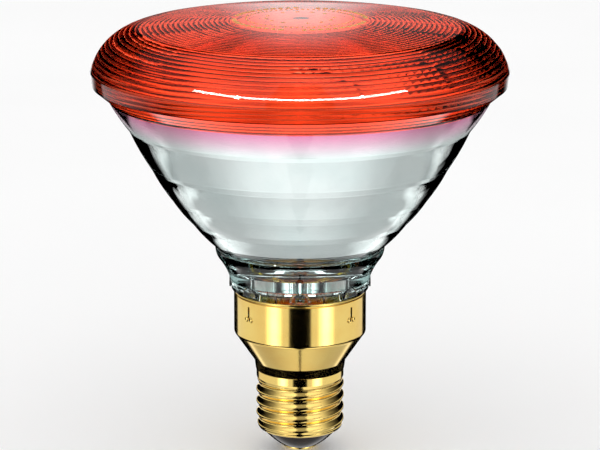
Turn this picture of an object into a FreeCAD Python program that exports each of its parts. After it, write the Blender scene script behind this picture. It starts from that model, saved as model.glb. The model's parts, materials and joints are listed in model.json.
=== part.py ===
import FreeCAD, Part
import math
import os

# A PAR38 infrared reflector lamp for warming poultry and small livestock: a pressed clear glass bowl with
# an aluminised inside, a red pressed glass lens fused to its mouth, and a skirted E27 screw cap in brass.
# Frame: millimetres, origin at the tip of the centre contact, +Z along the lamp's axis towards the lens.
# Every outline is drawn in the XZ plane, as radius and height, and runs anticlockwise: up the outside of
# its piece and back down the inside, so that a positive bulge always stands out of the material.

Vector = FreeCAD.Vector
UP = Vector(0, 0, 1)
FRONT = -90.0  # azimuth in degrees of the -Y side

# Whole lamp
LENGTH = 130.5
SEAL_Z = 108.2  # the lens and the bowl are fused on this plane
SEAL_OUTER = 55.8
SEAL_INNER = 52.4

# Front lens: smooth outside, ring flutes inside
DOME_RADIUS = 400.0
LENS_WALL = 3.5
TURN_RADIUS = 46.5  # here the face starts to turn down into the shoulder
SHOULDER_ROUND = 16.5
RIM_ANGLE = 15.2  # the shoulder's round ends this far above the level, in degrees, on the lens's widest ring
INNER_RIM_ANGLE = 18.0
RIM_LOWER = (60.0, 111.7)
INNER_FOOT = (55.6, 111.5)
PLAIN_RADIUS = 20.0  # the middle of the inside has no flutes
FACE_FLUTES, FACE_BULGE = 18, 0.05
SIDE_FLUTES, SIDE_BULGE = (3, 3, 11), 0.16  # on the foot, on the rim and round the shoulder

# Reflector bowl
FOCAL_LENGTH = 12.6
VERTEX_Z = 54.05  # of the parabola on the bowl's inside
BAND_BULGE, BAND_STEP = 0.26, 0.2
BAND_EDGES = [(25.5, 64.1), (31.8, 70.9), (37.7, 78.2), (43.5, 87.5), (49.8, 99.0), (SEAL_OUTER, SEAL_Z)]
RIDGE = (24.9, 62.7)
FLOOR_Z, FLOOR_UNDER_Z = 57.5, 53.5
HEEL_RADIUS, HEEL_INNER, HEEL_Z = 18.8, 15.5, 39.5
NECK_RADIUS = 20.2
LUGS, LUG_Z, LUG_RADIUS, LUG_REACH = 8, 51.0, 3.0, 20.8
COATING_GAP, COATING_RISE = 0.06, 0.5  # measured along Z

# Feed-throughs, filament and its mount
FERRULE_X, FERRULE_RADIUS, FERRULE_WALL = 7.0, 2.6, 0.4
FERRULE_Z = 50.5
EXHAUST_RADIUS, EXHAUST_BORE, EXHAUST_TIP_Z = 2.2, 1.3, 43.8
POST_RADIUS, POST_SPREAD, POST_TOP_Z = 0.9, 10.0, 64.9
COIL_Z = 66.6  # just above the reflector's focus
COIL_RADIUS, COIL_PITCH, COIL_TURNS, COIL_WIRE = 0.9, 0.75, 20, 0.2
CLAMP_LENGTH, CLAMP_WIDTH, CLAMP_HEIGHT = 2.4, 1.8, 1.6
BRIDGE_Z, BRIDGE_RADIUS, BRIDGE_HALF = 59.7, 1.2, 8.2
SUPPORT_X, SUPPORT_WIRE, SUPPORT_RING = 3.0, 0.2, 1.35

# Brass skirt of the cap
CAP_TOP = 50.0
SKIRT_RADIUS, SKIRT_WALL = 19.5, 0.5
CONE_BOTTOM_Z, CONE_TOP_Z = 28.2, 36.4
HEM_TOP, HEM_RADIUS, HEM_Z = 13.5, 13.15, 25.4
STAKE_ANGLES = (50, 130, 230, 310)  # from the front
STAKE_Z, SLIT_WIDTH, SLIT_HEIGHT = 43.6, 0.75, 3.8
PUNCH_RADIUS, PUNCH_CENTRE, PUNCH_SIDE = 1.0, 20.0, 0.95

# E27 screw shell
THREAD_PITCH = 3.629
THREAD_RADIUS = 13.1  # on the crests
ROOT_RADIUS = 12.13
SHELL_WALL = 0.35
THREAD_START_Z, THREAD_END_Z, THREAD_FADE = 8.0, 22.4, 1.5
FRONT_CREST_Z = 8.9
COLLAR_RADIUS = 12.95

# Insulator, contact and leads
INSULATOR_RADIUS, INSULATOR_TOP_Z = 11.7, 10.5
CONTACT_RADIUS, CONTACT_Z, CONTACT_TOP_Z = 5.1, 0.9, 1.7
CONTACT_BORE = 0.95
SOLDER_FLAT, SOLDER_RADIUS = 1.5, 3.0
LEAD_RADIUS = 0.4
FUSE_Z, FUSE_END_Z, FUSE_WIRE = 15.0, 25.0, 0.12
SLEEVE_RADIUS, SLEEVE_BORE = 1.6, 0.9
WELD_Z, WELD_RADIUS = 24.5, 1.1


def at(radius, height):
    return Vector(radius, 0, height)


def bulged(start, end, bulge):
    """An arc from start to end that stands out to the right of the straight way by bulge."""
    way = end - start
    right = Vector(way.z, 0, -way.x).normalize()
    return Part.Arc(start, (start + end) * 0.5 + right * bulge, end).toShape()


def outline(points):
    """Edges of a closed outline. A point is (radius, height), with a bulge after them for an arc to it."""
    edges = []
    for start, end in zip(points, points[1:] + points[:1]):
        here, there = at(*start[:2]), at(*end[:2])
        edges.append(bulged(here, there, end[2]) if len(end) > 2 else Part.makeLine(here, there))
    return edges


def turned(edges):
    """The solid that the closed outline sweeps in a full turn about the lamp's axis."""
    return Part.Face(Part.Wire(edges)).revolve(Vector(), UP, 360)


def cylinder(radius, low, high, x=0.0):
    return Part.makeCylinder(radius, high - low, Vector(x, 0, low), UP)


def spun(shape, angle):
    """A copy turned about the lamp's axis."""
    copy = shape.copy()
    copy.rotate(Vector(), UP, angle)
    return copy


def bent_rod(points, radius):
    """A round wire through the points, with tangent arcs at its bends."""
    bend = 3 * radius
    edges, start = [], points[0]
    for corner, following in zip(points[1:-1], points[2:]):
        back = (start - corner).normalize()
        ahead = (following - corner).normalize()
        half = back.getAngle(ahead) / 2
        cut = bend / math.tan(half)
        middle = corner + (back + ahead).normalize() * (bend / math.sin(half) - bend)
        edges.append(Part.makeLine(start, corner + back * cut))
        edges.append(Part.Arc(corner + back * cut, middle, corner + ahead * cut).toShape())
        start = corner + ahead * cut
    edges.append(Part.makeLine(start, points[-1]))
    profile = Part.Wire(Part.makeCircle(radius, points[0], points[1] - points[0]))
    return Part.Wire(edges).makePipeShell([profile], True, False)


def dome_arc(start, end, sunk=0.0):
    """The face between two radii, sunk below the outside."""
    dome = DOME_RADIUS - sunk
    leans = [math.asin(r / dome) for r in (start, (start + end) / 2, end)]
    spots = [at(0, LENGTH - DOME_RADIUS) + at(math.sin(a), math.cos(a)) * dome for a in leans]
    return Part.Arc(*spots).toShape()


def shoulder_arc(angle, sunk=0.0):
    """The round from an angle above the level up to the face, sunk below the outside."""
    lean = math.asin(TURN_RADIUS / DOME_RADIUS)
    arm = DOME_RADIUS - SHOULDER_ROUND
    pivot = at(arm * math.sin(lean), LENGTH - DOME_RADIUS + arm * math.cos(lean))
    start, end = math.radians(angle), math.pi / 2 - lean
    angles = (start, (start + end) / 2, end)
    spots = [pivot + at(math.cos(a), math.sin(a)) * (SHOULDER_ROUND - sunk) for a in angles]
    return Part.Arc(*spots).toShape()


def ends(edge):
    return edge.valueAt(edge.FirstParameter), edge.valueAt(edge.LastParameter)


def fluted(guide, count, bulge):
    """Arcs of equal chords along the guide, each standing out to its left by bulge."""
    cusps = guide.discretize(Number=count + 1)
    return [bulged(a, b, -bulge) for a, b in zip(cusps, cusps[1:])]


def front_lens():
    shoulder, inner_shoulder = shoulder_arc(RIM_ANGLE), shoulder_arc(INNER_RIM_ANGLE, LENS_WALL)
    rim_top, face_edge = ends(shoulder)
    inner_top, inner_edge = ends(inner_shoulder)
    foot, inner_low = at(SEAL_INNER, SEAL_Z), at(*INNER_FOOT)
    guides = (Part.makeLine(foot, inner_low), Part.makeLine(inner_low, inner_top), inner_shoulder)
    edges = []
    for guide, count in zip(guides, SIDE_FLUTES):
        edges += fluted(guide, count, SIDE_BULGE)
    edges += fluted(dome_arc(inner_edge.x, PLAIN_RADIUS, LENS_WALL), FACE_FLUTES, FACE_BULGE)
    edges.append(dome_arc(PLAIN_RADIUS, 0, LENS_WALL))
    edges.append(Part.makeLine(at(0, LENGTH - LENS_WALL), at(0, LENGTH)))
    edges += [dome_arc(face_edge.x, 0), shoulder]
    rim = [rim_top, at(*RIM_LOWER), at(SEAL_OUTER, SEAL_Z), foot]
    return turned(edges + [Part.makeLine(a, b) for a, b in zip(rim, rim[1:])])


def parabola(start_z, end_z, raised=0.0):
    """The reflector's curve between two heights, exactly, as a curve with one control point."""
    vertex = VERTEX_Z + raised
    start, end = [math.sqrt(4 * FOCAL_LENGTH * (z - vertex)) for z in (start_z, end_z)]
    curve = Part.BezierCurve()
    middle = at((start + end) / 2, vertex + start * end / (4 * FOCAL_LENGTH))
    curve.setPoles([at(start, start_z), middle, at(end, end_z)])
    return curve.toShape()


def bowl_outside():
    """The bowl's outside from the heel up: neck, ridge, and bands that each step out over the last."""
    points = [(HEEL_INNER, HEEL_Z), (HEEL_RADIUS - 0.8, HEEL_Z), (HEEL_RADIUS, HEEL_Z + 0.8, 0.25)]
    points += [(HEEL_RADIUS, CAP_TOP + 0.15), (NECK_RADIUS, CAP_TOP + 0.35, 0.1), (20.6, 53.5)]
    points += [(24.2, 60.2, -0.35), (*RIDGE, 0.15), (24.95, 63.5, -0.3), BAND_EDGES[0]]
    for radius, height in BAND_EDGES[1:-1]:
        points += [(radius, height, BAND_BULGE), (radius + BAND_STEP, height + 0.25)]
    return points + [(*BAND_EDGES[-1], BAND_BULGE)]


def stake_frames():
    """Azimuths of the four places where the skirt is staked into the glass."""
    return [FRONT + angle for angle in STAKE_ANGLES]


def punches(radius):
    """Balls on the stakes' two feet, at the front azimuth of 0."""
    turn = math.degrees(PUNCH_SIDE / SKIRT_RADIUS)
    ball = Part.makeSphere(radius, at(PUNCH_CENTRE, STAKE_Z))
    return [spun(ball, turn), spun(ball, -turn)]


def reflector_bowl():
    inner_top = parabola(SEAL_Z, FLOOR_Z)
    outside = outline(bowl_outside())[:-1]
    top, low = ends(inner_top)
    floor = [low, at(EXHAUST_RADIUS, FLOOR_Z), at(EXHAUST_RADIUS, FLOOR_UNDER_Z)]
    floor += [at(HEEL_INNER - 2.0, FLOOR_UNDER_Z)]
    edges = outside + [Part.makeLine(at(SEAL_OUTER, SEAL_Z), top), inner_top]
    edges += [Part.makeLine(a, b) for a, b in zip(floor, floor[1:])]
    edges.append(bulged(floor[-1], at(HEEL_INNER, FLOOR_UNDER_Z - 2.0), -0.6))
    edges.append(Part.makeLine(at(HEEL_INNER, FLOOR_UNDER_Z - 2.0), at(HEEL_INNER, HEEL_Z)))
    bowl = turned(edges)
    lug = Part.makeCylinder(LUG_RADIUS, LUG_REACH - 17.0, at(17.0, LUG_Z), Vector(1, 0, 0))
    lug = lug.makeFillet(0.6, [e for e in lug.Edges if e.CenterOfMass.x > LUG_REACH - 0.1])
    lug = lug.cut(cylinder(2 * NECK_RADIUS, 0, LUG_Z))
    bowl = bowl.fuse([spun(lug, FRONT + 360 * i / LUGS) for i in range(LUGS)])
    holes = [cylinder(FERRULE_RADIUS, FLOOR_UNDER_Z - 1, FLOOR_Z + 1, x) for x in (-FERRULE_X, FERRULE_X)]
    pits = [spun(ball, angle) for angle in stake_frames() for ball in punches(PUNCH_RADIUS + 0.7)]
    return bowl.cut(holes + pits)


def reflector_coating():
    low, high = FLOOR_Z + 0.2, SEAL_Z - 0.4
    outer = parabola(low, high, COATING_GAP)
    inner = parabola(high, low, COATING_GAP + COATING_RISE)
    (outer_low, outer_high), (inner_high, inner_low) = ends(outer), ends(inner)
    return turned([outer, Part.makeLine(outer_high, inner_high), inner, Part.makeLine(inner_low, outer_low)])


def ferrule(x):
    bore = FERRULE_RADIUS - FERRULE_WALL
    points = [(0, FERRULE_Z), (FERRULE_RADIUS - 0.6, FERRULE_Z), (FERRULE_RADIUS, FERRULE_Z + 0.6, 0.15)]
    points += [(FERRULE_RADIUS, FLOOR_Z), (bore, FLOOR_Z)]
    points += [(bore, FERRULE_Z + FERRULE_WALL), (0, FERRULE_Z + FERRULE_WALL)]
    return turned(outline(points)).translated(Vector(x, 0, 0))


def braze(x):
    low = FERRULE_Z + FERRULE_WALL
    points = [(POST_RADIUS, low), (FERRULE_RADIUS - FERRULE_WALL, low)]
    points += [(FERRULE_RADIUS - FERRULE_WALL, low + 2.4), (POST_RADIUS, low + 2.0, -0.2)]
    return turned(outline(points)).translated(Vector(x, 0, 0))


def exhaust_tube():
    points = [(0, EXHAUST_TIP_Z), (0.5, EXHAUST_TIP_Z), (EXHAUST_RADIUS, EXHAUST_TIP_Z + 2.6, 0.4)]
    points += [(EXHAUST_RADIUS, FLOOR_Z), (EXHAUST_BORE, FLOOR_Z), (EXHAUST_BORE, EXHAUST_TIP_Z + 3.2)]
    points += [(0.3, EXHAUST_TIP_Z + 1.8), (0, EXHAUST_TIP_Z + 1.8)]
    return turned(outline(points))


def post(side):
    spots = [(FERRULE_X, FERRULE_Z + FERRULE_WALL), (FERRULE_X, 60.8), (POST_SPREAD, 62.6)]
    spots.append((POST_SPREAD, POST_TOP_Z))
    return bent_rod([at(side * x, z) for x, z in spots], POST_RADIUS)


def coil_tail(side):
    """The straight end of the filament's wire, which runs into its clamp."""
    start = side * COIL_PITCH * COIL_TURNS / 2
    length = POST_SPREAD + CLAMP_LENGTH / 2 - abs(start)
    return Part.makeCylinder(COIL_WIRE, length, at(start, COIL_Z - COIL_RADIUS), Vector(side, 0, 0))


def filament():
    length = COIL_PITCH * COIL_TURNS
    path = Part.makeHelix(COIL_PITCH, length, COIL_RADIUS)
    start = Part.Wire(Part.makeCircle(COIL_WIRE, at(COIL_RADIUS, 0), Vector(0, 1, 0)))
    coil = path.makePipeShell([start], True, True)
    coil.rotate(Vector(), Vector(0, 1, 0), 90)
    coil.translate(Vector(-length / 2, 0, COIL_Z))
    return coil.fuse([coil_tail(-1), coil_tail(1)])


def clamp(side):
    corner = Vector(side * POST_SPREAD - CLAMP_LENGTH / 2, -CLAMP_WIDTH / 2, POST_TOP_Z)
    block = Part.makeBox(CLAMP_LENGTH, CLAMP_WIDTH, CLAMP_HEIGHT, corner)
    block = block.makeChamfer(0.3, [e for e in block.Edges if e.CenterOfMass.z > POST_TOP_Z + 0.5])
    return block.cut(coil_tail(side))


def support_hooks():
    hooks = []
    for x in (-SUPPORT_X, SUPPORT_X):
        ring = Part.makeTorus(SUPPORT_RING, SUPPORT_WIRE, at(x, COIL_Z), Vector(1, 0, 0))
        stem = cylinder(SUPPORT_WIRE, BRIDGE_Z, COIL_Z - SUPPORT_RING, x)
        hooks.append(ring.fuse(stem))
    return hooks


def support_bridge():
    rod = Part.makeCylinder(BRIDGE_RADIUS, 2 * BRIDGE_HALF, at(-BRIDGE_HALF, BRIDGE_Z), Vector(1, 0, 0))
    rod = rod.makeFillet(0.5, [e for e in rod.Edges if abs(abs(e.CenterOfMass.x) - BRIDGE_HALF) < 0.1])
    return rod.cut(support_hooks() + [post(-1), post(1)])


def cap_skirt():
    inner = SKIRT_RADIUS - SKIRT_WALL
    clear = COLLAR_RADIUS + 0.02  # the hem grips the shell's collar
    points = [(clear, HEM_Z), (HEM_RADIUS, HEM_Z + 0.12, 0.04), (HEM_TOP, CONE_BOTTOM_Z)]
    points += [(SKIRT_RADIUS - 0.45, CONE_TOP_Z), (SKIRT_RADIUS, CONE_TOP_Z + 1.2, 0.15)]
    points += [(SKIRT_RADIUS, CAP_TOP - 1.1), (SKIRT_RADIUS - 0.2, CAP_TOP - 0.95, -0.05)]
    points += [(SKIRT_RADIUS - 0.2, CAP_TOP, 0.2), (inner, CAP_TOP)]
    points += [(inner, CONE_TOP_Z + 1.3), (inner - 0.45, CONE_TOP_Z + 0.3, -0.1), (clear, CONE_BOTTOM_Z + 0.4)]
    skirt = turned(outline(points))
    slit = Part.makeBox(3, SLIT_WIDTH, SLIT_HEIGHT, Vector(inner - 1, -SLIT_WIDTH / 2, STAKE_Z))
    for angle in stake_frames():
        dents = [spun(ball, angle) for ball in punches(PUNCH_RADIUS)]
        bumps = [spun(ball, angle) for ball in punches(PUNCH_RADIUS + 0.4)]
        inside = cylinder(inner + 0.1, STAKE_Z - 3, STAKE_Z + 3)
        skirt = skirt.fuse([bump.common(inside) for bump in bumps]).cut(dents + [spun(slit, angle)])
    return skirt


def knuckle_thread(radius):
    """The round thread's body. Every level section is a circle of this radius, and its centre runs up a
    narrow right-handed helix, which fades out at both ends of the thread."""
    reach = (THREAD_RADIUS - ROOT_RADIUS) / 2
    steps = 64
    path = []
    for i in range(steps + 1):
        z = THREAD_START_Z + (THREAD_END_Z - THREAD_START_Z) * i / steps
        end = min(z - THREAD_START_Z, THREAD_END_Z - z)
        swing = reach * math.sin(math.pi / 2 * min(1, end / THREAD_FADE))
        turn = math.radians(FRONT) + 2 * math.pi * (z - FRONT_CREST_Z) / THREAD_PITCH
        path.append(Vector(swing * math.cos(turn), swing * math.sin(turn), z))
    curve = Part.BSplineCurve()
    curve.interpolate(path)
    sweep = Part.BRepOffsetAPI.MakePipeShell(Part.Wire(curve.toShape()))
    sweep.setTrihedronMode(Vector(), UP)
    sweep.add(Part.Wire(Part.makeCircle(radius, path[0], UP)))
    sweep.build()
    sweep.makeSolid()
    return sweep.shape()


def threaded(radius, lip, lip_bulge, collar):
    """The knuckle thread's body, carried on below by a lip and above by a collar."""
    below = [(0, lip[0][1]), *lip, (radius, THREAD_START_Z, lip_bulge), (0, THREAD_START_Z)]
    above = [(0, THREAD_END_Z), (radius, THREAD_END_Z), *collar, (0, collar[-1][1])]
    return knuckle_thread(radius).fuse([turned(outline(below)), turned(outline(above))])


def screw_shell():
    middle = (THREAD_RADIUS + ROOT_RADIUS) / 2
    hollow, bore = middle - SHELL_WALL, COLLAR_RADIUS - SHELL_WALL
    lip_z, collar_z, flare_z = THREAD_START_Z - 1.05, THREAD_END_Z + 0.7, CONE_BOTTOM_Z + 0.4
    collar = [(COLLAR_RADIUS, collar_z), (COLLAR_RADIUS, flare_z), (COLLAR_RADIUS + 1.2, flare_z + 2.0)]
    inside = [(bore, collar_z), (bore, flare_z + 0.1), (bore + 1.4, flare_z + 2.4)]
    body = threaded(middle, [(middle - 1.1, lip_z)], 0.3, collar)
    mouth = [(middle - 1.2, lip_z - 1), (middle - 1.2, lip_z + 0.3)]
    return body.cut(threaded(hollow, mouth, 0.15, inside))


def contact_insulator():
    points = [(CONTACT_BORE, CONTACT_TOP_Z), (5.6, CONTACT_TOP_Z), (11.3, 6.9, 0.35), (11.35, 7.3)]
    points += [(INSULATOR_RADIUS, 7.75, 0.03), (INSULATOR_RADIUS, INSULATOR_TOP_Z), (9.8, INSULATOR_TOP_Z)]
    points += [(7.4, 6.0, -0.4), (3.2, 4.6), (2.3, 7.4), (CONTACT_BORE, 7.4)]
    return turned(outline(points))


def centre_contact():
    points = [(CONTACT_BORE, CONTACT_Z), (CONTACT_RADIUS - 0.4, CONTACT_Z)]
    points += [(CONTACT_RADIUS, CONTACT_Z + 0.4, 0.1), (CONTACT_RADIUS, CONTACT_TOP_Z)]
    points += [(CONTACT_BORE, CONTACT_TOP_Z)]
    return turned(outline(points))


def centre_solder():
    points = [(0, 0), (SOLDER_FLAT, 0), (SOLDER_RADIUS, CONTACT_Z, 0.22), (CONTACT_BORE, CONTACT_Z)]
    points += [(CONTACT_BORE, CONTACT_TOP_Z), (0, CONTACT_TOP_Z)]
    return turned(outline(points))


def lead_wire_upper():
    spots = [(0, FUSE_END_Z), (0, 31), (-FERRULE_X, 38), (-FERRULE_X, FERRULE_Z)]
    return bent_rod([at(x, z) for x, z in spots], LEAD_RADIUS)


def lead_wire_shell():
    wall = COLLAR_RADIUS - SHELL_WALL - 0.6
    spots = [(wall, WELD_Z), (wall, 29), (FERRULE_X, 38), (FERRULE_X, FERRULE_Z)]
    return bent_rod([at(x, z) for x, z in spots], LEAD_RADIUS)


def shell_weld():
    wall = COLLAR_RADIUS - SHELL_WALL
    ball = Part.makeSphere(WELD_RADIUS, at(wall - 0.5, WELD_Z))
    return ball.common(cylinder(wall, 0, CAP_TOP)).cut(lead_wire_shell())


def fuse_sleeve():
    low, high = FUSE_Z - 1.5, FUSE_END_Z + 1.5
    points = [(LEAD_RADIUS, low), (SLEEVE_RADIUS - 0.4, low), (SLEEVE_RADIUS, low + 0.7, 0.1)]
    points += [(SLEEVE_RADIUS, high - 0.7), (SLEEVE_RADIUS - 0.4, high, 0.1), (LEAD_RADIUS, high)]
    points += [(LEAD_RADIUS, high - 0.6), (SLEEVE_BORE, high - 1.1), (SLEEVE_BORE, low + 1.1)]
    points += [(LEAD_RADIUS, low + 0.6)]
    return turned(outline(points))


def export(name, shape):
    print(f"{name:20s} volume {shape.Volume:10.2f} mm3, valid {shape.isValid()}, solids {len(shape.Solids)}")
    shape.exportStep(f"parts/{name}.step")


os.makedirs("parts", exist_ok=True)
export("front_lens", front_lens())
export("reflector_bowl", reflector_bowl())
export("reflector_coating", reflector_coating())
for label, direction in (("left", -1), ("right", 1)):
    export(f"ferrule_{label}", ferrule(direction * FERRULE_X))
    export(f"braze_{label}", braze(direction * FERRULE_X))
    export(f"post_{label}", post(direction))
    export(f"clamp_{label}", clamp(direction))
export("exhaust_tube", exhaust_tube())
export("filament", filament())
export("filament_supports", Part.makeCompound(support_hooks()))
export("support_bridge", support_bridge())
export("cap_skirt", cap_skirt())
export("screw_shell", screw_shell())
export("contact_insulator", contact_insulator())
export("centre_contact", centre_contact())
export("centre_solder", centre_solder())
export("lead_wire_lower", cylinder(LEAD_RADIUS, CONTACT_TOP_Z, FUSE_Z))
export("fuse_link", cylinder(FUSE_WIRE, FUSE_Z, FUSE_END_Z))
export("fuse_sleeve", fuse_sleeve())
export("lead_wire_upper", lead_wire_upper())
export("lead_wire_shell", lead_wire_shell())
export("shell_weld", shell_weld())
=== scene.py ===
"""Looks of the red reflector heat lamp: glass, mirror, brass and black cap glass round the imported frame."""
import json
import math

import bmesh
import bpy
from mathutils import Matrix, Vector


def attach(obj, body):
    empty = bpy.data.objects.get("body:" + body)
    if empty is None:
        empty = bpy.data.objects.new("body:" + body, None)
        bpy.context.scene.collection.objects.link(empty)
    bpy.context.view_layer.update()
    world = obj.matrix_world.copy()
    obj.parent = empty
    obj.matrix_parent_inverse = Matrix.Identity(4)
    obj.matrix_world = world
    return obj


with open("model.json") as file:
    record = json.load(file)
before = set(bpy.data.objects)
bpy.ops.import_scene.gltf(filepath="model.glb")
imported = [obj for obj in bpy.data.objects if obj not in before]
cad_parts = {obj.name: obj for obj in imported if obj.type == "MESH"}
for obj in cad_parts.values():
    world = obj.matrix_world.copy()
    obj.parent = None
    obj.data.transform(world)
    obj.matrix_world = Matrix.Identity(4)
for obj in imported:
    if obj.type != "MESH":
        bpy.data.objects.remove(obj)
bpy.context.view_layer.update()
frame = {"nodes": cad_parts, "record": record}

# Camera: it looks down at the lamp, and its distance and aim are in metres from the lamp's contact tip
CAMERA_DISTANCE = 0.700
CAMERA_PITCH = math.radians(14.67)
AIM_HEIGHT = 0.066
SENSOR_WIDTH = 36.0
FOCAL_LENGTH = 147.84
SHIFT_Y = 0.0157

FLOOR_HALF = 3.0

# Strip light and the two sparks on it, which draw the highlight line on the lens. Reach and level are in
# metres; elevation, height and turns are in degrees, seen from the lamp's axis at that level. The range keeps
# their light off the cap.
STRIP_LEVEL, STRIP_RANGE, STRIP_STEPS = 0.12, 1.0, 32
STRIP_ELEVATION = 36.0
STRIP_REACH, STRIP_TALL, STRIP_TURN, STRIP_STRENGTH = 1.0, 3.4, 66, 60
SPARK_REACH, SPARK_TALL, SPARK_TURN, SPARK_STRENGTH = 0.98, 4.5, 37, 320
SPARK_HALF = 1.6

# Rings of raised dashes in the middle of the lens, which say nothing, in metres:
# radius, groups, dashes in each group, and a dash's length, width and height
MARK_RINGS = [
    (0.0190, 4, 11, 0.0021, 0.0019, 0.0003),
    (0.0155, 1, 60, 0.0013, 0.0006, 0.0002),
    (0.0098, 3, 4, 0.0018, 0.0014, 0.00014),
]
GROUP_FILL = 0.86  # share of the ring that the groups take up
SHORTEST_DASH = 0.7  # of the full length
DASH_SUNK = 0.3  # share of a dash's height that is in the glass
DASH_ROUNDING = 0.3
DASH_THICKNESS = 0.00008

WHITE_WALL = 1.07  # even white, for the camera and for the light on the floor

# The studio as metal and glass see it. Azimuth runs from 0 in front to 1 behind, elevation from 0 straight
# down to 1 straight up, and depth from 0 in front to 1 behind. Each pair is a place on one of them and the
# brightness there, or the share of another brightness.
HORIZON = [(0.485, 0.0), (0.5, 1.0)]  # by elevation

# Above the horizon, in reflections
WALL_ABOVE = [(0.0, 0.95), (0.33, 0.85), (0.5, 0.15), (0.7, 0.0)]  # by azimuth
CEILING = [(0.66, 0.0), (0.8, 0.4)]  # by elevation
SOFTBOX_WIDTH = [(0.955, 0.0), (0.985, 0.25), (0.996, 1.0)]  # by azimuth
SOFTBOX_HEIGHT = [(0.5, 1.0), (0.57, 1.0), (0.63, 0.0)]  # by elevation

# A black slot for the camera, in reflections
SLOT_WIDTH = [(0.1, 0.0), (0.11, 1.0)]  # by azimuth
SLOT_TOP = [(0.85, 0.0), (0.9, 1.0)]  # by elevation
GROUND_SLOT = [(0.07, 0.0), (0.085, 1.0)]  # by azimuth

# Above the horizon, through the glass
THROUGH_WALL = [(0.0, 1.4), (0.1, 1.4), (0.18, 1.0), (0.33, 1.0), (0.42, 1.6), (0.54, 1.5),
                (0.61, 0.0), (0.94, 0.0), (0.97, 1.8)]  # by azimuth
THROUGH_TOP = [(0.7, 0.0), (0.8, 0.9)]  # by elevation

# A glow low behind, through the glass
THROUGH_BACK = [(0.94, 0.0), (0.97, 1.5)]  # by azimuth
THROUGH_BACK_HEIGHT = [(0.44, 0.0), (0.46, 1.0)]  # by elevation

# Walls below the horizon, with a bright upright band on each side, over a black foot
WALL_BELOW = [(0.0, 0.9), (0.77, 0.8), (0.79, 0.0)]  # by azimuth
SIDE_BAND = [(0.17, 0.0), (0.235, 1.0), (0.275, 1.0), (0.35, 0.0)]  # by azimuth
SIDE_STRENGTH = 2.2
WALL_FOOT = [(0.375, 0.0), (0.39, 1.0)]  # by elevation
FOOT_DROP = 0.03  # how much lower the foot ends through the glass
FOOT_WIDTH = [(0.35, 0.0), (0.5, 1.0)]  # by azimuth: through the glass the foot is black only in front

# A bright band behind, just below the horizon
BEHIND = [(0.76, 0.0), (0.8, 1.0)]  # by azimuth
BEHIND_BAND = [(0.424, 0.0), (0.432, 1.0), (0.462, 1.0), (0.468, 0.0)]  # by elevation
BEHIND_STRENGTH = 1.2

# The ground, brighter at its rim behind
GROUND = [(0.16, 0.0), (0.22, 0.97), (0.34, 0.85), (0.42, 0.74), (0.5, 0.55), (0.6, 0.42)]  # by depth
GROUND_STRENGTH = 1.25
GROUND_RIM = [(0.16, 0.0), (0.27, 0.8), (0.35, 0.5)]  # by elevation
GROUND_END = [(0.27, 1.0), (0.29, 0.0)]  # by elevation, in reflections
THROUGH_GROUND_END = [(0.325, 1.0), (0.35, 0.0)]  # by elevation, through the glass

# Painted red glow: the red lens's light painted as pink into the clear glass's colour near it and in the
# neck, by height in metres
PAINTED_GLOW_SCALE = 0.12
PAINTED_RED_GLOW = [(0.0535, (1, 1, 1)), (0.056, (1, 0.82, 0.85)), (0.062, (1, 1, 1)),
            (0.1005, (1, 1, 1)), (0.1082, (1, 0.45, 0.66))]

# Glasses: clearest and deepest tint, roughness from and to, the body's colour and its density
CLEAR_GLASS = (0.98, 1.0, 0.99), (0.95, 0.99, 0.98), (0.0, 0.02), (0.78, 0.96, 0.94), 50
BEAD_GLASS = (0.97, 1.0, 0.99), (0.93, 0.985, 0.975), (0.0, 0.03), (0.75, 0.97, 0.93), 80
RED_GLASS = (0.98, 0.42, 0.23), (0.96, 0.37, 0.20), (0.0, 0.02), (0.9, 0.25, 0.12), 200
RED_GLOSS, RED_SHINE = 0.12, (1.0, 0.45, 0.42)  # the specular level and its tint

# Metals: colour, stained colour, roughness from and to, and how far the grain is squeezed along X, Y and Z
EVEN, DRAWN, SPUN = (1, 1, 1), (1, 1, 0.1), (1, 1, 12)
METALS = {
    "reflector_aluminium": ((0.95, 0.96, 0.97), (0.90, 0.92, 0.93), (0.02, 0.06), EVEN),
    "nickel_iron": ((0.55, 0.53, 0.50), (0.40, 0.38, 0.36), (0.25, 0.4), EVEN),
    "braze_metal": ((0.72, 0.60, 0.38), (0.5, 0.4, 0.25), (0.3, 0.5), EVEN),
    "nickel_wire": ((0.62, 0.61, 0.58), (0.5, 0.49, 0.47), (0.2, 0.35), DRAWN),
    "tungsten": ((0.3, 0.3, 0.31), (0.2, 0.2, 0.21), (0.3, 0.5), EVEN),
    "molybdenum": ((0.45, 0.45, 0.46), (0.35, 0.35, 0.36), (0.3, 0.45), EVEN),
    "cap_brass": ((1.0, 0.73, 0.22), (0.96, 0.65, 0.18), (0.08, 0.16), SPUN),
    "solder": ((0.68, 0.68, 0.69), (0.5, 0.5, 0.52), (0.2, 0.4), EVEN),
    "copper_wire": ((0.72, 0.45, 0.3), (0.55, 0.33, 0.2), (0.2, 0.4), DRAWN),
}


def new_material(name):
    """A material with its tree, its shader and the shader's own object coordinates."""
    material = bpy.data.materials.new(name)
    material.use_nodes = True
    tree = material.node_tree
    shader = tree.nodes["Principled BSDF"]
    coords = tree.nodes.new("ShaderNodeTexCoord")
    return material, tree, shader, coords.outputs["Object"]


def feed(tree, socket, value):
    """Gives a socket a number, or links another node's output to it."""
    if isinstance(value, (int, float)):
        socket.default_value = value
    else:
        tree.links.new(value, socket)


def math_node(tree, operation, *values):
    """The result of a Math node."""
    node = tree.nodes.new("ShaderNodeMath")
    node.operation = operation
    for socket, value in zip(node.inputs, values):
        feed(tree, socket, value)
    return node.outputs["Value"]


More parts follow.
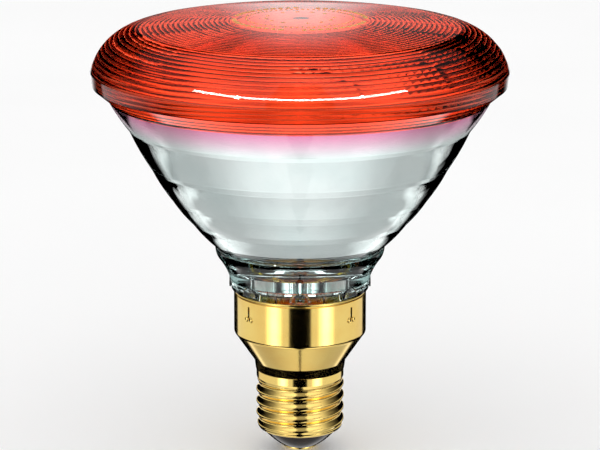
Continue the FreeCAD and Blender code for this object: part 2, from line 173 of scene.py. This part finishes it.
def blend(tree, factor, low, high):
    """The number low where the factor is 0, and high where it is 1."""
    mix = tree.nodes.new("ShaderNodeMix")
    for name, value in (("Factor", factor), ("A", low), ("B", high)):
        feed(tree, mix.inputs[name], value)
    return mix.outputs["Result"]


def multiply_colours(tree, first, second):
    """The product of two colours."""
    mix = tree.nodes.new("ShaderNodeMix")
    mix.data_type = "RGBA"
    mix.blend_type = "MULTIPLY"
    mix.inputs["Factor"].default_value = 1.0
    colours = [socket for socket in mix.inputs if socket.type == "RGBA"]
    tree.links.new(first, colours[0])
    tree.links.new(second, colours[1])
    return next(socket for socket in mix.outputs if socket.type == "RGBA")


def ramp(tree, value, stops):
    """Colours by a value; stops are (position, colour), and the colours may pass 1."""
    node = tree.nodes.new("ShaderNodeValToRGB")
    elements = node.color_ramp.elements
    while len(elements) < len(stops):
        elements.new(0.5)
    for element, (position, colour) in zip(elements, stops):
        element.position = position
        element.color = (*colour, 1.0)
    tree.links.new(value, node.inputs["Fac"])
    return node.outputs["Color"]


def grey_ramp(tree, value, stops):
    """A number by a value; stops are (position, number)."""
    return ramp(tree, value, [(position, (grey, grey, grey)) for position, grey in stops])


def remap(tree, value, low, high):
    """A value between 0 and 1 spread from low to high."""
    node = tree.nodes.new("ShaderNodeMapRange")
    node.inputs["To Min"].default_value = low
    node.inputs["To Max"].default_value = high
    tree.links.new(value, node.inputs["Value"])
    return node.outputs["Result"]


def noise(tree, vector, scale, detail, squeeze=EVEN):
    """A noise pattern's height; scale is in features per metre, squeezed along the axes."""
    mapping = tree.nodes.new("ShaderNodeMapping")
    mapping.inputs["Scale"].default_value = squeeze
    tree.links.new(vector, mapping.inputs["Vector"])
    texture = tree.nodes.new("ShaderNodeTexNoise")
    texture.inputs["Scale"].default_value = scale
    texture.inputs["Detail"].default_value = detail
    tree.links.new(mapping.outputs["Vector"], texture.inputs["Vector"])
    return texture.outputs["Fac"]


def bump(tree, shader, height, strength, distance):
    """Relief on a shader; the distance is in metres."""
    node = tree.nodes.new("ShaderNodeBump")
    node.inputs["Strength"].default_value = strength
    node.inputs["Distance"].default_value = distance
    tree.links.new(height, node.inputs["Height"])
    tree.links.new(node.outputs["Normal"], shader.inputs["Normal"])


def painted_glow_colour(tree, place, glow):
    """Painted red glow: the red neighbour's light painted into the glass's colour by height; the glow's stops
    are (height in metres, colour).
    """
    split = tree.nodes.new("ShaderNodeSeparateXYZ")
    tree.links.new(place, split.inputs[0])
    height = math_node(tree, "DIVIDE", split.outputs["Z"], PAINTED_GLOW_SCALE)
    return ramp(tree, height, [(z / PAINTED_GLOW_SCALE, painted_tint) for z, painted_tint in glow])


def glass(name, clear, tinted, rough, body, density, gloss=0.5, shine=(1, 1, 1), glow=None):
    """Pressed glass: a tint that drifts a little, a body that absorbs, and a fire-polished skin with faint
    waviness."""
    material, tree, shader, place = new_material(name)
    drift = noise(tree, place, scale=60, detail=2)
    colour = ramp(tree, drift, [(0.35, clear), (0.65, tinted)])
    # Painted red glow: the red lens's light painted into the base colour by height
    if glow:
        colour = multiply_colours(tree, colour, painted_glow_colour(tree, place, glow))
    tree.links.new(colour, shader.inputs["Base Color"])
    wear = noise(tree, place, scale=900, detail=4)
    tree.links.new(remap(tree, wear, *rough), shader.inputs["Roughness"])
    shader.inputs["Transmission Weight"].default_value = 1.0
    shader.inputs["IOR"].default_value = 1.5
    shader.inputs["Specular IOR Level"].default_value = gloss
    shader.inputs["Specular Tint"].default_value = (*shine, 1.0)
    bump(tree, shader, noise(tree, place, scale=160, detail=2), strength=0.15, distance=0.00005)
    absorption = tree.nodes.new("ShaderNodeVolumeAbsorption")
    absorption.inputs["Color"].default_value = (*body, 1.0)
    absorption.inputs["Density"].default_value = density
    tree.links.new(absorption.outputs["Volume"], tree.nodes["Material Output"].inputs["Volume"])
    return material


def metal(name, colour, stained, rough, squeeze):
    """Drawn, spun or plain metal, with fine lines and faint stains."""
    material, tree, shader, place = new_material(name)
    stain = noise(tree, place, scale=90, detail=4)
    tree.links.new(ramp(tree, stain, [(0.35, stained), (0.6, colour)]), shader.inputs["Base Color"])
    lines = noise(tree, place, scale=700, detail=3, squeeze=squeeze)
    tree.links.new(remap(tree, lines, *rough), shader.inputs["Roughness"])
    shader.inputs["Metallic"].default_value = 1.0
    bump(tree, shader, lines, strength=0.1, distance=0.00002)
    return material


def vitrite():
    """Black cap glass, glossy with a faint amber depth."""
    material, tree, shader, place = new_material("vitrite")
    cloud = noise(tree, place, scale=250, detail=4)
    black, amber = (0.003, 0.002, 0.002), (0.03, 0.012, 0.005)
    tree.links.new(ramp(tree, cloud, [(0.4, black), (0.75, amber)]), shader.inputs["Base Color"])
    wear = noise(tree, place, scale=1500, detail=3)
    tree.links.new(remap(tree, wear, 0.06, 0.2), shader.inputs["Roughness"])
    shader.inputs["Specular IOR Level"].default_value = 0.2
    bump(tree, shader, cloud, strength=0.3, distance=0.0001)
    return material


def mark_glass():
    """Sand-blasted glass, which catches the light as a dull gold."""
    material, tree, shader, place = new_material("mark_glass")
    grit = noise(tree, place, scale=2500, detail=4)
    dull, bright = (0.95, 0.62, 0.20), (1.0, 0.75, 0.32)
    tree.links.new(ramp(tree, grit, [(0.35, dull), (0.65, bright)]), shader.inputs["Base Color"])
    tree.links.new(remap(tree, grit, 0.35, 0.6), shader.inputs["Roughness"])
    bump(tree, shader, grit, strength=0.2, distance=0.00002)
    return material


def floor_material():
    """Pale matt paper."""
    material, tree, shader, place = new_material("studio_floor")
    tone = noise(tree, place, scale=4, detail=3)
    grey, white = (0.93, 0.93, 0.93), (0.96, 0.96, 0.96)
    tree.links.new(ramp(tree, tone, [(0.3, grey), (0.7, white)]), shader.inputs["Base Color"])
    shader.inputs["Roughness"].default_value = 0.8
    return material


def finishes():
    """One material for each of the record's slots."""
    made = {name: metal(name, *values) for name, values in METALS.items()}
    made["red_glass"] = glass("red_glass", *RED_GLASS, gloss=RED_GLOSS, shine=RED_SHINE)
    # The clear glass gets the painted red glow in its colour
    made["clear_glass"] = glass("clear_glass", *CLEAR_GLASS, glow=PAINTED_RED_GLOW)
    made["bead_glass"] = glass("bead_glass", *BEAD_GLASS)
    made["vitrite"] = vitrite()
    return made


def dress():
    """Gives each CAD node the material of its slot."""
    made = finishes()
    for part in frame["record"]["subparts"]:
        mesh = frame["nodes"][part["node"]].data
        for i in range(len(mesh.materials)):
            mesh.materials[i] = made[part["material_slot"]]


def directions(tree, coords):
    """A world direction's azimuth, elevation and depth."""
    split = tree.nodes.new("ShaderNodeSeparateXYZ")
    tree.links.new(coords, split.inputs[0])
    ahead = math_node(tree, "MULTIPLY", split.outputs["Y"], -1.0)
    turn = math_node(tree, "ABSOLUTE", math_node(tree, "ARCTAN2", split.outputs["X"], ahead))
    rise = math_node(tree, "ARCSINE", split.outputs["Z"])
    azimuth = math_node(tree, "DIVIDE", turn, math.pi)
    elevation = math_node(tree, "ADD", math_node(tree, "DIVIDE", rise, math.pi), 0.5)
    depth = math_node(tree, "MULTIPLY_ADD", split.outputs["Y"], 0.5, 0.5)
    return azimuth, elevation, depth


def world_pattern(tree, coords, through):
    """The studio's brightness in a direction; through is 1 for a view through the glass, and 0 in a
    reflection."""
    azimuth, elevation, depth = directions(tree, coords)

    def round_about(stops):
        return grey_ramp(tree, azimuth, stops)

    def upwards(stops):
        return grey_ramp(tree, elevation, stops)

    slot = math_node(tree, "MAXIMUM", round_about(SLOT_WIDTH), through)
    softbox = math_node(tree, "MULTIPLY", round_about(SOFTBOX_WIDTH), upwards(SOFTBOX_HEIGHT))
    walls = math_node(tree, "ADD", softbox, round_about(WALL_ABOVE))
    walls = math_node(tree, "MULTIPLY", walls, math_node(tree, "MAXIMUM", slot, upwards(SLOT_TOP)))
    walls = math_node(tree, "ADD", walls, upwards(CEILING))
    lit = math_node(tree, "MAXIMUM", round_about(THROUGH_WALL), upwards(THROUGH_TOP))
    above = blend(tree, through, walls, lit)

    behind = round_about(BEHIND)
    rim = math_node(tree, "MULTIPLY", upwards(GROUND_RIM), behind)
    ground = math_node(tree, "MULTIPLY_ADD", grey_ramp(tree, depth, GROUND), GROUND_STRENGTH, rim)
    ground_slot = math_node(tree, "MAXIMUM", round_about(GROUND_SLOT), through)
    ground = math_node(tree, "MULTIPLY", ground, ground_slot)

    wall = math_node(tree, "MULTIPLY_ADD", round_about(SIDE_BAND), SIDE_STRENGTH, round_about(WALL_BELOW))
    beside = math_node(tree, "MULTIPLY", round_about(FOOT_WIDTH), through)
    raised = math_node(tree, "MULTIPLY_ADD", through, FOOT_DROP, elevation)
    foot = math_node(tree, "MAXIMUM", beside, grey_ramp(tree, raised, WALL_FOOT))
    wall = math_node(tree, "MULTIPLY", math_node(tree, "MULTIPLY", wall, foot), slot)

    ground_share = blend(tree, through, upwards(GROUND_END), upwards(THROUGH_GROUND_END))
    below = blend(tree, ground_share, wall, ground)
    whole = blend(tree, upwards(HORIZON), below, above)
    band = math_node(tree, "MULTIPLY", upwards(BEHIND_BAND), behind)
    whole = math_node(tree, "MULTIPLY_ADD", band, BEHIND_STRENGTH, whole)
    back = math_node(tree, "MULTIPLY", round_about(THROUGH_BACK), upwards(THROUGH_BACK_HEIGHT))
    return math_node(tree, "MULTIPLY_ADD", back, through, whole)


def studio_world():
    """Even white for the camera and for the light on the floor; the pattern in reflections and through the
    glass."""
    world = bpy.data.worlds.new("studio")
    bpy.context.scene.world = world
    world.use_nodes = True
    world.cycles.sampling_method = "NONE"  # so that every ray is told apart by what it left
    tree = world.node_tree
    coords = tree.nodes.new("ShaderNodeTexCoord").outputs["Generated"]
    path = tree.nodes.new("ShaderNodeLightPath").outputs
    looked_into = math_node(tree, "MAXIMUM", path["Is Glossy Ray"], path["Is Transmission Ray"])
    pattern = world_pattern(tree, coords, path["Is Transmission Ray"])
    background = tree.nodes["Background"]
    background.inputs["Color"].default_value = (1.0, 1.0, 1.0, 1.0)
    tree.links.new(blend(tree, looked_into, WHITE_WALL, pattern), background.inputs["Strength"])


def strip_glow(name, strength):
    """A light that ends STRIP_RANGE away."""
    material = bpy.data.materials.new(name)
    material.use_nodes = True
    tree = material.node_tree
    tree.nodes.remove(tree.nodes["Principled BSDF"])
    glow = tree.nodes.new("ShaderNodeEmission")
    span = tree.nodes.new("ShaderNodeLightPath").outputs["Ray Length"]
    near = math_node(tree, "LESS_THAN", span, STRIP_RANGE)
    tree.links.new(math_node(tree, "MULTIPLY", near, strength), glow.inputs["Strength"])
    tree.links.new(glow.outputs["Emission"], tree.nodes["Material Output"].inputs["Surface"])
    return material


def studio_piece(name, points, faces, material):
    """A piece of the studio, which isn't part of the lamp."""
    mesh = bpy.data.meshes.new(name)
    mesh.from_pydata(points, [], faces)
    mesh.materials.append(material)
    piece = bpy.data.objects.new(name, mesh)
    bpy.context.scene.collection.objects.link(piece)
    return piece


def strip(name, reach, tall, start, end, strength):
    """A level light, curved round the lamp, that only reflections see."""
    points = []
    for i in range(STRIP_STEPS + 1):
        turn = math.radians(start + (end - start) * i / STRIP_STEPS)
        for lift in (STRIP_ELEVATION - tall / 2, STRIP_ELEVATION + tall / 2):
            level = reach * math.cos(math.radians(lift))
            height = STRIP_LEVEL + reach * math.sin(math.radians(lift))
            points.append((level * math.sin(turn), -level * math.cos(turn), height))
    faces = [(2 * i, 2 * i + 1, 2 * i + 3, 2 * i + 2) for i in range(STRIP_STEPS)]
    piece = studio_piece(name, points, faces, strip_glow(name, strength))
    piece.visible_camera = False
    piece.visible_diffuse = False
    piece.visible_shadow = False
    piece.visible_transmission = False


def studio():
    """The floor, which isn't seen in reflections or through the glass, the world, and the lights for the
    highlight line."""
    corners = [(x, y, 0.0) for x in (-FLOOR_HALF, FLOOR_HALF) for y in (-FLOOR_HALF, FLOOR_HALF)]
    floor = studio_piece("floor", corners, [(0, 1, 3, 2)], floor_material())
    floor.visible_glossy = False
    floor.visible_transmission = False
    studio_world()
    strip("strip_light", STRIP_REACH, STRIP_TALL, -STRIP_TURN, STRIP_TURN, STRIP_STRENGTH)
    for side in (-1, 1):
        turn = side * SPARK_TURN
        start, end = turn - SPARK_HALF, turn + SPARK_HALF
        strip(f"spark_{side + 1}", SPARK_REACH, SPARK_TALL, start, end, SPARK_STRENGTH)


def camera():
    """The camera, in front of the lamp and a little above it."""
    data = bpy.data.cameras.new("camera")
    data.sensor_width = SENSOR_WIDTH
    data.lens = FOCAL_LENGTH
    data.shift_y = SHIFT_Y
    cam = bpy.data.objects.new("camera", data)
    rise = CAMERA_DISTANCE * math.tan(CAMERA_PITCH)
    cam.location = (0, -CAMERA_DISTANCE, AIM_HEIGHT + rise)
    cam.rotation_euler = (math.pi / 2 - CAMERA_PITCH, 0, 0)
    bpy.context.scene.collection.objects.link(cam)
    bpy.context.scene.camera = cam


def dash(shell, lens, radius, angle, length, width, height):
    """One raised dash along a ring: a low pillow whose edge is sunk in the glass."""
    across, along = 4, 6
    rows = []
    for i in range(along + 1):
        row = []
        for j in range(across + 1):
            u = 2 * i / along - 1
            v = 2 * j / across - 1
            spread = math.sqrt(1 - DASH_ROUNDING * u * u * v * v)
            turn = angle + u * spread * length / 2 / radius
            here = radius + v * spread * width / 2
            x, y = here * math.sin(turn), -here * math.cos(turn)
            above, down = Vector((x, y, 1.0)), Vector((0, 0, -1))
            hit = lens.ray_cast(above, down)[1]
            rise = height * ((1 - u ** 4) * (1 - v * v) - DASH_SUNK)
            row.append(shell.verts.new((x, y, hit.z + rise)))
        rows.append(row)
    for first, second in zip(rows, rows[1:]):
        for j in range(across):
            shell.faces.new((first[j], first[j + 1], second[j + 1], second[j]))


def mould_mark():
    """The rings of raised dashes moulded in the lens's middle."""
    lens = frame["nodes"]["front_lens"]
    shell = bmesh.new()
    for radius, groups, count, length, width, height in MARK_RINGS:
        span = 2 * math.pi / groups
        fill = GROUP_FILL if groups > 1 else 1.0
        for group in range(groups):
            for i in range(count):
                angle = span * (group + fill * (i + 0.5) / count)
                share = (i * 7 + group * 3) % 4 / 3  # uneven lengths, in four steps
                uneven = length * (SHORTEST_DASH + (1 - SHORTEST_DASH) * share)
                dash(shell, lens, radius, angle, uneven, width, height)
    bmesh.ops.solidify(shell, geom=shell.faces[:], thickness=DASH_THICKNESS)
    mesh = bpy.data.meshes.new("mould_mark")
    shell.to_mesh(mesh)
    shell.free()
    mesh.materials.append(mark_glass())
    mark = bpy.data.objects.new("mould_mark", mesh)
    bpy.context.scene.collection.objects.link(mark)
    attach(mark, "root")


bpy.context.scene.view_settings.view_transform = "Standard"
camera()
studio()
dress()
mould_mark()
